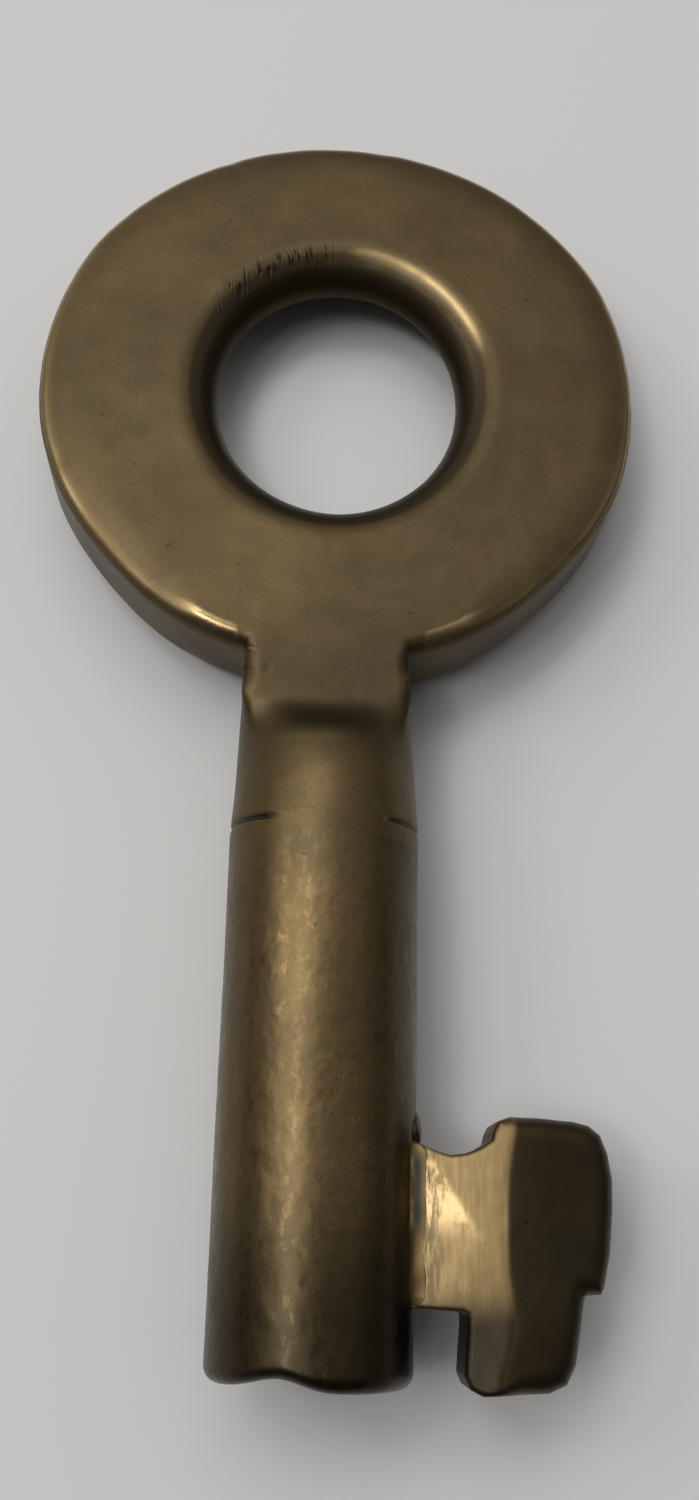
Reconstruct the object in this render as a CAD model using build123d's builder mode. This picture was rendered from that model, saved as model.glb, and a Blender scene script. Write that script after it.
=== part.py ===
# Railroad switch key: a flat ring bow with a round neck, a hollow barrel and a flag bit, all in brass.
# The key lies flat: +Z is square to the bow's faces, the barrel runs towards -Y and the bit towards +X.
# The origin is the centre of the hole in the bow, at mid thickness. All sizes are in millimetres.
import os
from math import sqrt

from build123d import *

os.makedirs("parts", exist_ok=True)

# Bow: a flat ring with a softly rounded rim and a hole that flares to both faces
bow_radius = 13.6
bow_thickness = 4.5
bow_edge_round = 0.8
hole_radius = 5.7
hole_land = 0.5  # straight wall left at mid thickness
hole_flare = 1.5  # how much the radius grows from the land to each face
hole_edge_round = 1.0

# Neck: turned round, flaring from the bow to the barrel
neck_top_distance = 10.0  # from the origin to the neck's upper end, inside the ring
neck_top_radius = 3.0
neck_end_radius = 3.92
facing_margin = 1.0  # how far the cut that faces the bow runs flat past its rim
facing_corner = 2.0  # radius that the cut's corner leaves where it climbs the neck

# Barrel: fixed on the neck's spigot and drilled from its mouth for the lock's post
joint_distance = 20.7  # from the origin to the middle of the joint
joint_gap = 0.24
joint_sink = 0.15  # how far the joint's metal lies below the surface at the sides, and not at the crown
barrel_radius = 3.97
barrel_length = 21.1
mouth_round = 0.7
bore_radius = 2.45
bore_chamfer = 0.25
socket_radius = 2.0
spigot_length = 3.0
solder_film = 0.03  # gap that brazing metal fills in the hidden fits
bore_floor = 1.57  # solid metal left between the spigot's socket and the bore
tenon_recess = 0.06  # how far the bit's tenon stops short of the bore

# Bit: a flag with a thin web, scooped at its upper end, and a longer head beyond it
web_low_above_mouth = 2.5
web_length = 6.2
scoop_radius = 1.7
scoop_out = 1.48  # from the barrel's surface to the scoop's centre
scoop_rise = 1.15  # from the web's upper end to the scoop's centre
head_below_mouth = 0.35
head_length = 10.0
head_inner_out = 2.95  # from the barrel's surface to the head's inner side, above the web
step_inner_out = 1.83  # and below the web
bit_reach = 7.53  # from the barrel's surface to the head's outer side
outer_narrowing = 0.35  # how much the outer side comes in towards the notch
notch_above_low = 3.5  # from the head's low end up to the notch
notch_depth = 0.7
notch_narrowing = 0.4  # how much the outer side comes in below the notch
inner_high_round = 0.45
step_round = 0.2
outer_high_round = 1.1
notch_round = 0.15
outer_low_round = 0.9
inner_low_round = 0.6

# Thickness of the bit: thin at the root, up to a ridge along the head, and thinner again outside it
root_half = 1.1
ridge_half = 1.9
edge_half = 1.15
ridge_out = 3.43  # from the barrel's surface to the ridge
head_edge_round = 0.4
head_end_round = 0.55

# Brazing metal round the bit's root
fillet_on_web = 0.7
fillet_on_barrel = 0.75
fillet_hollow = 0.15
end_solder_length = 1.2
end_solder_width = 0.2

face_height = bow_thickness / 2
neck_end = joint_distance - joint_gap / 2
barrel_start = joint_distance + joint_gap / 2
mouth = barrel_start + barrel_length
spigot_radius = socket_radius - solder_film
socket_end = barrel_start + spigot_length + solder_film
bore_end = socket_end + bore_floor
web_low = mouth - web_low_above_mouth
web_high = web_low - web_length
web_middle = (web_low + web_high) / 2
head_low = mouth + head_below_mouth
head_high = head_low - head_length
notch = head_low - notch_above_low
ridge_x = barrel_radius + ridge_out
reach_x = barrel_radius + bit_reach
root_x = sqrt(barrel_radius**2 - root_half**2)  # where the web's faces come out of the barrel


# Bow: ring, neck and spigot in one casting
with BuildPart() as bow:
    with BuildSketch(Plane.XZ) as ring_section:
        with BuildLine():
            Polyline(
                (bow_radius, -face_height),
                (bow_radius, face_height),
                (hole_radius + hole_flare, face_height),
                (hole_radius, hole_land / 2),
                (hole_radius, -hole_land / 2),
                (hole_radius + hole_flare, -face_height),
                close=True,
            )
        make_face()
        fillet(ring_section.vertices().group_by(Axis.X)[1], hole_edge_round)
        fillet(ring_section.vertices().group_by(Axis.X)[-1], bow_edge_round)
    revolve(axis=Axis.Z)

    with BuildSketch(Plane.XY) as neck_section:
        with BuildLine():
            Polyline(
                (0, -neck_top_distance),
                (neck_top_radius, -neck_top_distance),
                (neck_end_radius, -neck_end),
                (spigot_radius, -neck_end),
                (spigot_radius, -barrel_start - spigot_length),
                (0, -barrel_start - spigot_length),
                close=True,
            )
        make_face()
    revolve(axis=Axis.Y)

    # The bow is faced on both sides: the cut runs flat past the rim and climbs the neck in a hollow round
    flat_radius = bow_radius + facing_margin
    with BuildSketch(Plane.XZ) as facing_section:
        with BuildLine():
            Line((0, face_height), (flat_radius, face_height))
            CenterArc((flat_radius, face_height + facing_corner), facing_corner, -90, 90)
            Polyline(
                (flat_radius + facing_corner, face_height + facing_corner),
                (0, face_height + facing_corner),
                (0, face_height),
            )
        make_face()
        mirror(about=Plane.XZ)
    revolve(axis=Axis.Z, mode=Mode.SUBTRACT)

bow.part.label = "bow"
export_step(bow.part, "parts/bow.step")


# Barrel: turned round, with a socket for the spigot, a blind bore from the mouth and a slot for the bit's tenon
with BuildPart() as barrel:
    with BuildSketch(Plane.XY) as barrel_section:
        with BuildLine():
            Polyline(
                (socket_radius, -barrel_start),
                (barrel_radius, -barrel_start),
                (barrel_radius, -mouth),
                (bore_radius, -mouth),
                (bore_radius, -bore_end),
                (0, -bore_end),
                (0, -socket_end),
                (socket_radius, -socket_end),
                close=True,
            )
        make_face()
        outer_corner = barrel_section.vertices().sort_by_distance((barrel_radius, -mouth))[0]
        fillet(outer_corner, mouth_round)
        bore_corner = barrel_section.vertices().sort_by_distance((bore_radius, -mouth))[0]
        chamfer(bore_corner, bore_chamfer)
    revolve(axis=Axis.Y)

    with Locations(((bore_radius + barrel_radius) / 2, -web_middle, 0)):
        Box(
            2 * (barrel_radius - bore_radius),
            web_length + 2 * solder_film,
            2 * (root_half + solder_film),
            mode=Mode.SUBTRACT,
        )

barrel.part.label = "barrel"
export_step(barrel.part, "parts/barrel.step")


# Ring of brazing metal in the joint: flush at the crown, sunk a little at the sides
with BuildPart() as neck_solder:
    with BuildSketch(Plane.XZ.offset(neck_end)):
        Ellipse(barrel_radius - joint_sink, barrel_radius)
        Circle(socket_radius, mode=Mode.SUBTRACT)
    extrude(amount=joint_gap)

neck_solder.part.label = "neck_solder"
export_step(neck_solder.part, "parts/neck_solder.step")


# Bit: the flag's outline, cut to its wedge section, with the tenon's end hollowed to the bore
with BuildPart() as bit:
    with BuildSketch(Plane.XY) as flag:
        with BuildLine():
            FilletPolyline(
                (barrel_radius + head_inner_out, -head_high),
                (reach_x, -head_high),
                (reach_x - outer_narrowing, -notch),
                (reach_x - outer_narrowing - notch_depth, -notch),
                (reach_x - outer_narrowing - notch_depth - notch_narrowing, -head_low),
                (barrel_radius + step_inner_out, -head_low),
                (barrel_radius + step_inner_out, -web_middle),
                (barrel_radius + head_inner_out, -web_middle),
                radius=[
                    inner_high_round,
                    outer_high_round,
                    notch_round,
                    notch_round,
                    outer_low_round,
                    inner_low_round,
                    inner_high_round,
                    inner_high_round,
                ],
                close=True,
            )
        make_face()
        with Locations(((barrel_radius + head_inner_out) / 2, -web_middle)):
            Rectangle(barrel_radius + head_inner_out, web_length)
        step_corner = flag.vertices().sort_by_distance((barrel_radius + step_inner_out, -web_low))[0]
        fillet(step_corner, step_round)
        with Locations((barrel_radius + scoop_out, -web_high + scoop_rise)):
            Circle(scoop_radius, mode=Mode.SUBTRACT)
    extrude(amount=ridge_half, both=True)

    # End view: thin at the root, thickest at the ridge, with the outer corners rounded
    with BuildSketch(Plane.XZ.offset(head_high)) as end_view:
        with BuildLine():
            Polyline(
                (0, root_half),
                (root_x, root_half),
                (ridge_x, ridge_half),
                (reach_x, edge_half),
                (reach_x, 0),
                (0, 0),
                close=True,
            )
        make_face()
        mirror(about=Plane.XZ)
        fillet(end_view.vertices().group_by(Axis.X)[-1], head_edge_round)
    extrude(amount=head_length, mode=Mode.INTERSECT)

    # Side view: both ends of the head are rounded over
    with BuildSketch(Plane.YZ) as side_view:
        with Locations((-(head_low + head_high) / 2, 0)):
            RectangleRounded(head_length, 2 * ridge_half, head_end_round)
    extrude(amount=reach_x, mode=Mode.INTERSECT)

    with BuildSketch(Plane.XZ.offset(head_high)):
        Circle(bore_radius + tenon_recess)
    extrude(amount=head_length, mode=Mode.SUBTRACT)

bit.part.label = "bit"
export_step(bit.part, "parts/bit.step")


# Brazing metal in the root, front and back: a hollow fillet between the barrel and the web's face
web_rise = (ridge_half - root_half) / (ridge_x - root_x)
on_web = (root_x + fillet_on_web, root_half + fillet_on_web * web_rise)
on_barrel_height = root_half + fillet_on_barrel
on_barrel = (sqrt(barrel_radius**2 - on_barrel_height**2), on_barrel_height)

with BuildPart() as bit_solder_front:
    with BuildSketch(Plane.XZ.offset(web_high + fillet_on_web)):
        with BuildLine():
            Line((root_x, root_half), on_web)
            SagittaArc(on_web, on_barrel, fillet_hollow)
            Polyline(on_barrel, (0, on_barrel_height), (0, root_half), (root_x, root_half))
        make_face()
        Circle(barrel_radius, mode=Mode.SUBTRACT)
    extrude(amount=web_length - fillet_on_web)

bit_solder_front.part.label = "bit_solder_front"
export_step(bit_solder_front.part, "parts/bit_solder_front.step")

with BuildPart() as bit_solder_back:
    add(bit_solder_front.part)
    mirror(about=Plane.XY, mode=Mode.REPLACE)

bit_solder_back.part.label = "bit_solder_back"
export_step(bit_solder_back.part, "parts/bit_solder_back.step")


# Sliver of brazing metal that runs on up the barrel from the web's upper end
with BuildPart() as bit_solder_end:
    with BuildSketch(Plane.XY):
        with BuildLine():
            Polyline(
                (root_x - end_solder_width, -web_high),
                (barrel_radius + end_solder_width, -web_high),
                (barrel_radius, -web_high + end_solder_length),
                (root_x - end_solder_width, -web_high + end_solder_length),
                close=True,
            )
        make_face()
    extrude(amount=root_half, both=True)
    with BuildSketch(Plane.XZ):
        Circle(barrel_radius)
    extrude(amount=head_low, mode=Mode.SUBTRACT)

bit_solder_end.part.label = "bit_solder_end"
export_step(bit_solder_end.part, "parts/bit_solder_end.step")
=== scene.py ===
import bmesh
import bpy
import math
import numpy as np
from mathutils import Matrix, Vector


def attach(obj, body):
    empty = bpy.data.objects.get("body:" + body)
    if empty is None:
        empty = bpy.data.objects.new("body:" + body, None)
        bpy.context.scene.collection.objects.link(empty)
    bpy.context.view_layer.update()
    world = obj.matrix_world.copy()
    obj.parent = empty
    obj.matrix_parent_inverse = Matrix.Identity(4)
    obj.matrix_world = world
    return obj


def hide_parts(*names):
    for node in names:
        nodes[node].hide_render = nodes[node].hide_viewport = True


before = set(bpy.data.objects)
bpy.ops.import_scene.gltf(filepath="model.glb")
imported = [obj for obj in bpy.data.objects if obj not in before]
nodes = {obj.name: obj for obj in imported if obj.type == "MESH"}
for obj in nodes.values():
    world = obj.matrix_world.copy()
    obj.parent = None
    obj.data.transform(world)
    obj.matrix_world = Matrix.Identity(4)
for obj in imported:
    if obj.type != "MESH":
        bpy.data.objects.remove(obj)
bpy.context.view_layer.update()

mm = 0.001  # shapes are worked out in millimetres and written in metres
tiny = 1e-6  # keeps a division away from zero
print("frame loaded:", len(nodes), "nodes")


# helpers for shapes; distances are in millimetres

# smaller of two distances, with the corner between them rounded over a width k
def softMin(a, b, k):
    h = np.clip(k - np.abs(a - b), 0, None) / k
    return np.minimum(a, b) - h * h * k / 4


# larger of two distances, with the corner between them rounded over a width k
def softMax(a, b, k):
    return -softMin(-a, -b, k)


# 0 up to the start, 1 past the end, and a smooth s-curve between them; the start may be the larger
def smoothStep(value, start, end):
    t = np.clip((value - start) / (end - start), 0, 1)
    return t * t * (3 - 2 * t)


# bell curve: 1 at its middle, and about a third one width away from it
def bell(value, middle, width):
    return np.exp(-(((value - middle) / width) ** 2))


# sum of sine waves that run in random directions: smooth lumps of about the given size, mostly from -1 to 1
def lumps(p, size, seed):
    count, slowest, fastest, level = 24, 0.7, 1.4, 7
    draw = np.random.default_rng(seed)
    directions = draw.normal(size=(count, 3))
    directions /= np.linalg.norm(directions, axis=1, keepdims=True)
    waves = directions * (2 * math.pi / size) * draw.uniform(slowest, fastest, (count, 1))
    phases = draw.uniform(0, 2 * math.pi, count)
    return np.sin(p @ waves.T + phases).sum(axis=1) / level


# one hollow: a bell curve of the given depth round a point
def hollow(p, centre, radius, depth):
    return -depth * bell(np.linalg.norm(p - np.array(centre), axis=1), 0, radius)


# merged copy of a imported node, rebuilt as even square faces: its points in millimetres and its faces
def evenCopy(name, voxel):
    weld = 0.0005
    mesh = nodes[name].data.copy()
    mesh.transform(Matrix.Scale(1 / mm, 4))
    work = bmesh.new()
    work.from_mesh(mesh)
    bmesh.ops.remove_doubles(work, verts=work.verts, dist=weld)
    work.to_mesh(mesh)
    work.free()
    holder = bpy.data.objects.new("holder", mesh)
    bpy.context.scene.collection.objects.link(holder)
    remesh = holder.modifiers.new("even", "REMESH")
    remesh.mode = "VOXEL"
    remesh.voxel_size = voxel
    shaped = holder.evaluated_get(bpy.context.evaluated_depsgraph_get())
    result = bpy.data.meshes.new_from_object(shaped)
    points = np.zeros(len(result.vertices) * 3)
    result.vertices.foreach_get("co", points)
    corners = np.zeros(len(result.loops), dtype=int)
    result.loops.foreach_get("vertex_index", corners)
    bpy.data.objects.remove(holder)
    bpy.data.meshes.remove(mesh)
    bpy.data.meshes.remove(result)
    return points.reshape(-1, 3), corners.reshape(-1, 4).tolist()


# slope of a distance formula: central differences along the three axes
def slopeOf(distance, p, step=0.01):
    slopes = [(distance(p + step * a) - distance(p - step * a)) / (2 * step) for a in np.eye(3)]
    return np.stack(slopes, axis=1)


# moves every point down the slope of a distance formula until it lies where the formula is zero
def settle(p, distance):
    rounds, gentlest, longest = 7, 0.3, 0.3
    for _ in range(rounds):
        slope = slopeOf(distance, p)
        length = np.maximum((slope**2).sum(axis=1), gentlest)
        move = -(distance(p) / length)[:, None] * slope
        p = p + np.clip(move, -longest, longest)
    return p


# how sharply a formula's surface turns at each point: its slope's spread, above 0 on edges, below in corners
def turnOf(distance, p, reach):
    here = distance(p)
    spread = sum(distance(p + reach * a) + distance(p - reach * a) - 2 * here for a in np.eye(3))
    return spread / reach


# even copy of a node, settled on a formula: points, faces, directions outwards and how sharply it turns
def settledCopy(name, distance, s):
    points, faces = evenCopy(name, s["voxel"])
    points = settle(points, distance)
    outward = slopeOf(distance, points, s["slopeStep"])
    outward /= np.maximum(np.linalg.norm(outward, axis=1, keepdims=True), tiny)
    return points, faces, outward, turnOf(distance, points, s["turnReach"])


# puts points and faces into a mesh piece that rides on the key, with one value per point for each named mask
def makePiece(name, points, faces, material, replaced, masks=None):
    mesh = bpy.data.meshes.new(name)
    mesh.from_pydata((points * mm).tolist(), [], faces)
    mesh.validate()
    mesh.shade_smooth()
    for label, values in (masks or {}).items():
        mask = mesh.attributes.new(label, "FLOAT", "POINT")
        mask.data.foreach_set("value", np.asarray(values, dtype=np.float32))
    mesh.materials.append(material)
    piece = bpy.data.objects.new(name, mesh)
    bpy.context.scene.collection.objects.link(piece)
    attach(piece, "root")
    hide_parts(*replaced)
    print("piece made:", name, len(mesh.polygons), "faces")


# faces of a closed tube grid whose first and last rings close on one point each
def tubeFaces(rings, around):
    ring = np.arange(rings - 1)[:, None] * around
    turn = np.arange(around)
    ahead = (turn + 1) % around
    quads = np.stack([ring + turn, ring + ahead, ring + around + ahead, ring + around + turn], axis=-1)
    first, last, top = rings * around, rings * around + 1, (rings - 1) * around
    low = np.stack([np.full(around, first), ahead, turn], axis=-1)
    high = np.stack([np.full(around, last), top + turn, top + ahead], axis=-1)
    return quads.reshape(-1, 4).tolist() + low.tolist() + high.tolist()


# helpers for materials

# makes a node, links the inputs that are sockets and writes the others
def addNode(tree, kind, inputs=None, **settings):
    node = tree.nodes.new(kind)
    for key, value in settings.items():
        setattr(node, key, value)
    for key, value in (inputs or {}).items():
        if isinstance(value, bpy.types.NodeSocket):
            tree.links.new(value, node.inputs[key])
        else:
            node.inputs[key].default_value = value
    return node


def calculate(tree, operation, a, b=0.0):
    return addNode(tree, "ShaderNodeMath", {0: a, 1: b}, operation=operation).outputs[0]


def plus(tree, a, b):
    return calculate(tree, "ADD", a, b)


def minus(tree, a, b):
    return calculate(tree, "SUBTRACT", a, b)


def times(tree, a, b):
    return calculate(tree, "MULTIPLY", a, b)


# position on the piece in millimetres, stretched and turned
def placeOn(tree, stretch=(1, 1, 1), turn=0.0):
    where = addNode(tree, "ShaderNodeTexCoord").outputs["Object"]
    turned = addNode(tree, "ShaderNodeMapping", {"Vector": where, "Rotation": (0, 0, math.radians(turn))})
    scale = tuple(v / mm for v in stretch)
    return addNode(tree, "ShaderNodeMapping", {"Vector": turned.outputs[0], "Scale": scale}).outputs[0]


# one coordinate of that position
def coordinate(tree, axis):
    return addNode(tree, "ShaderNodeSeparateXYZ", {0: placeOn(tree)}).outputs[axis]


# cloudy pattern, from 0 to 1 round a middle of 0.5; size is in millimetres
def cloud(tree, where, size, detail=4.0, rough=0.55, twist=0.0):
    inputs = {"Vector": where, "Scale": 1 / size, "Detail": detail, "Roughness": rough, "Distortion": twist}
    return addNode(tree, "ShaderNodeTexNoise", inputs).outputs["Fac"]


# value between low and high becomes 0 to 1
def band(tree, value, low, high):
    inputs = {"Value": value, "From Min": low, "From Max": high}
    return addNode(tree, "ShaderNodeMapRange", inputs, interpolation_type="SMOOTHSTEP").outputs["Result"]


# cloudy pattern that comes in between two of its values
def patches(tree, s, where=None):
    if where is None:
        where = placeOn(tree, s["stretch"], s.get("turn", 0.0))
    return band(tree, cloud(tree, where, *s["pattern"]), *s["between"])


# goes from one colour over to another as far as the amount says, times a strength
def mixColour(tree, colour, other, amount, strength=1.0):
    if strength != 1.0:
        amount = times(tree, amount, strength)
    node = addNode(tree, "ShaderNodeMix", {"Factor": amount}, data_type="RGBA")
    for socket, value in ((node.inputs[6], colour), (node.inputs[7], other)):
        if isinstance(value, bpy.types.NodeSocket):
            tree.links.new(value, socket)
        else:
            socket.default_value = (*value, 1)
    return node.outputs[2]


def mask(tree, label):
    return addNode(tree, "ShaderNodeAttribute", attribute_name=label).outputs["Fac"]


# thin lines: a cloud stretched far along one direction, kept only where it crosses its middle
def scratches(tree, turn, width, length, share):
    lines = cloud(tree, placeOn(tree, (1 / width, 1 / length, 1 / width), turn), 1.0, detail=0.0)
    return band(tree, calculate(tree, "ABSOLUTE", minus(tree, lines, 0.5)), share, 0.0)


# camera: its place and turn come from the outlines of ring, hole, barrel and joint

cameraSettings = {
    "place": (-1.45, -37.17, 59.29),
    "pitch": 18.9,
    "yaw": -2.23,
    "roll": 2.13,
    "lens": 34.8,
    "sensor": 36.0,
    "nearest": 0.001,
    "farthest": 20.0,
}


def makeCamera(s):
    data = bpy.data.cameras.new("camera")
    data.lens = s["lens"]
    data.sensor_width = s["sensor"]
    data.clip_start = s["nearest"]
    data.clip_end = s["farthest"]
    camera = bpy.data.objects.new("camera", data)
    bpy.context.scene.collection.objects.link(camera)
    turn = Matrix.Rotation(math.radians(s["pitch"]), 4, "X")
    turn = turn @ Matrix.Rotation(math.radians(s["yaw"]), 4, "Y")
    turn = turn @ Matrix.Rotation(math.radians(s["roll"]), 4, "Z")
    camera.matrix_world = Matrix.Translation(Vector(s["place"]) * mm) @ turn
    bpy.context.scene.camera = camera


makeCamera(cameraSettings)
print("camera set")


# bow: flat ring, neck and spigot; a pair of values is where a smooth step starts and ends

bowSettings = {
    "rim": 13.6,
    "hole": 5.7,
    "half": 2.25,
    "rimRound": 0.8,
    "shoulder": 1.0,  # width of the gentle slope inside the rim's round, away from the neck
    "shoulderSlope": 15.0,
    "shoulderSoft": 0.25,
    "neckClear": 5.0,  # the slope fades within this distance of the neck's middle
    "neckClearY": (-5.0, -9.0),
    "neckClearLift": 1.5,
    "dish": 1.35,  # width of the worn slope round the hole
    "dishSlope": 35.0,
    "dishSoft": 0.9,
    "dishEdgeSoft": 0.4,
    "holeOval": 0.19,  # the hole is this much longer, and this much narrower, than a circle
    "nose": 0.45,  # height of the hole's inner edge
    "noseSoft": 0.12,
    "backFlare": 0.8,  # growth of the hole's radius for each mm below that edge
    "neckTop": -10.0,
    "neckTopRadius": 3.3,
    "joint": -20.7,
    "neckEnd": -20.5,
    "neckEndRadius": 3.965,
    "neckEndSoft": 0.2,
    "neckFlattened": 0.1,  # how much thinner than wide the neck is beside the ring
    "neckFlattenedY": (-19.6, -16.0),
    "neckSide": -0.15,  # the neck's upper end stands this far to one side
    "neckSideY": (-20.0, -13.0),
    "flatReach": 14.6,  # the flat faces run this far from the hole's centre
    "climb": 2.0,  # radius of the round in which they climb the neck
    "climbSoft": 0.6,
    "barY": (-17.4, -14.8),  # from the cone below to the flat bar above
    "barSoft": 0.25,
    "stemFrom": 11.0,  # the stem starts this far from the hole's centre, below stemTop
    "stemTop": -9.0,
    "joinSoft": (0.01, 0.12),  # width of the corner between ring and stem at the faces, and its growth inside
    "joinDepth": (0.05, 0.7),
    "joinR": (12.4, 13.2),
    "spigotRadius": 1.97,
    "spigotTop": -18.0,
    "spigotEnd": -23.82,
    "voxel": 0.16,
    "slopeStep": 0.1,
    "turnReach": 0.25,
    # where the rim leaves a true circle: azimuth, amount, width
    "rimWaves": ((-45, -0.24, 16), (-140, -0.22, 16), (90, -0.11, 20), (30, 0.12, 14), (145, 0.12, 14)),
    "lumps": ((0.02, 6, 1), (0.006, 1.6, 2)),  # height, size, seed
    "lumpsY": (-20.3, -18.5),
    # pits and nicks: place, radius, depth
    "pits": (
        ((-1.02, -11.64, 2.25), 0.11, 0.01),
        ((-0.04, -11.45, 2.25), 0.08, 0.01),
        ((0.57, -11.61, 2.25), 0.09, 0.01),
        ((-2.64, -14.06, 2.2), 0.16, 0.03),
        ((11.14, 0.75, 2.25), 0.14, 0.02),
        ((0.95, -15.14, 2.25), 0.24, 0.03),
        ((9.71, -8.86, 2.2), 0.18, 0.04),
        ((-8.9, -4.6, 2.25), 0.12, 0.02),
    ),
    # nicks at random places round both edges of the rim
    "nicks": {
        "seed": 5,
        "count": 40,
        "out": 13.3,
        "height": 1.9,
        "radius": (0.3, 0.8),
        "depth": (0.01, 0.035),
    },
    # where the finish changes; start and end are azimuths, and r counts from the dish's outer edge; the r of the
    # file marks and the y of the darker part of the neck are the middle and width of a bell curve
    "sharpest": 2.0,  # limit of the masks for edges and corners
    "besideNeck": {"x": (4.2, 3.8), "y": (-11.0, -12.0)},  # edges stay dark here
    "upward": (0.45, 0.8),
    # painted highlight on the dish's outer edge at the upper right, on top of its wear: amount, width, and the
    # azimuths where it starts and ends
    "dishEdgeHighlight": {"amount": 0.28, "width": 0.4, "start": (5, 30), "end": (95, 80)},
    # painted shade where the neck climbs from the flat face, on the slope that faces the ring: its lean, its y
    # range, and the share left at the sides
    "rise": {
        "lean": (0.06, 0.3),
        "upper": (-14.4, -15.2),
        "lower": (-18.5, -17.5),
        "side": (2.7, 1.3),
        "least": 0.35,
    },
    "inHole": (-0.02, 0.14),
    "filed": {"height": (0.5, 1.2), "r": (-0.12, 0.38), "start": (88, 100), "end": (152, 138)},
    "neckDarker": {"y": (-14.8, 2.9), "side": (5.5, 2.5)},
}


# sum of bell curves round the circle, each at an azimuth, with its own amount and width in degrees
def circleWaves(x, y, waves):
    azimuth = np.degrees(np.arctan2(y, x))
    total = np.zeros_like(x)
    for at, amount, width in waves:
        off = (azimuth - at + 180) % 360 - 180
        total += amount * bell(off, 0, width)
    return total


# radius of the oval hole in the direction of a point: longest along y
def holeRadius(x, y):
    s = bowSettings
    return s["hole"] + s["holeOval"] * (y**2 - x**2) / np.maximum(np.hypot(x, y), 1) ** 2


# radius of the neck along y: a straight flare from its upper end to the joint
def neckRadius(y):
    s = bowSettings
    along = (s["neckTop"] - y) / (s["neckTop"] - s["joint"])
    return s["neckTopRadius"] + (s["neckEndRadius"] - s["neckTopRadius"]) * along


# height over a plane that leans by some degrees, from the distances above it and across it
def leaningPlane(above, across, degrees):
    lean = math.radians(degrees)
    return above * math.cos(lean) + across * math.sin(lean)


# distance from the bow's surface: a ring of rounded rectangular section, with a gentle slope inside the rim,
# a dished face round its oval hole and a flare behind the hole's inner edge; it is joined to a stem, a flat
# bar beside the ring that turns into a slightly flattened cone where its flat faces climb in a hollow round
def bowDistance(p):
    s = bowSettings
    x, y, z = p[:, 0], p[:, 1], np.abs(p[:, 2])
    r = np.hypot(x, y)
    above = z - s["half"]
    rim = s["rim"] + circleWaves(x, y, s["rimWaves"])
    hole = holeRadius(x, y)
    a = r - rim + s["rimRound"]
    b = above + s["rimRound"]
    outer = np.minimum(np.maximum(a, b), 0) + np.hypot(np.maximum(a, 0), np.maximum(b, 0)) - s["rimRound"]
    atNeck = np.exp(-((x / s["neckClear"]) ** 4)) * smoothStep(y, *s["neckClearY"])
    shoulder = leaningPlane(above, r - rim + s["shoulder"], s["shoulderSlope"])
    outer = softMax(outer, shoulder - s["neckClearLift"] * atNeck, s["shoulderSoft"])
    dish = leaningPlane(above, hole + s["dish"] - r, s["dishSlope"])
    inner = softMax(softMax(hole - r, dish, s["dishSoft"]), above, s["dishEdgeSoft"])
    ring = np.where(r > (rim + hole) / 2, outer, inner)
    flare = hole + (s["nose"] - p[:, 2]) * s["backFlare"] - r
    ring = softMax(ring, flare / math.hypot(1, s["backFlare"]), s["noseSoft"])

    side = x - s["neckSide"] * smoothStep(y, *s["neckSideY"])
    flattened = 1 - s["neckFlattened"] * smoothStep(y, *s["neckFlattenedY"])
    cone = np.hypot(side, z / flattened) - neckRadius(y)
    climbing = r - s["flatReach"]
    climb = s["climb"] - np.hypot(climbing, above - s["climb"])
    flat = np.where(climbing < 0, above, climb)
    bar = softMax(np.abs(side) - neckRadius(y), above, s["barSoft"])
    square = smoothStep(y, *s["barY"])
    stem = softMax(cone, flat, s["climbSoft"]) * (1 - square) + bar * square
    stem = softMax(stem, s["neckEnd"] - y, s["neckEndSoft"])
    stem = np.maximum(stem, np.maximum(s["stemFrom"] - r, y - s["stemTop"]))
    spigot = np.hypot(x, z) - s["spigotRadius"]
    spigot = np.maximum(spigot, np.maximum(s["spigotEnd"] - y, y - s["spigotTop"]))
    sharp, growth = s["joinSoft"]
    inside = smoothStep(s["half"] - z, *s["joinDepth"]) * smoothStep(r, *s["joinR"])
    return np.minimum(softMin(ring, stem, sharp + growth * inside), spigot)


# several layers of lumps added up, each with its height, size and seed
def lumpLayers(p, layers):
    return sum(height * lumps(p, size, seed) for height, size, seed in layers)


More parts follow.
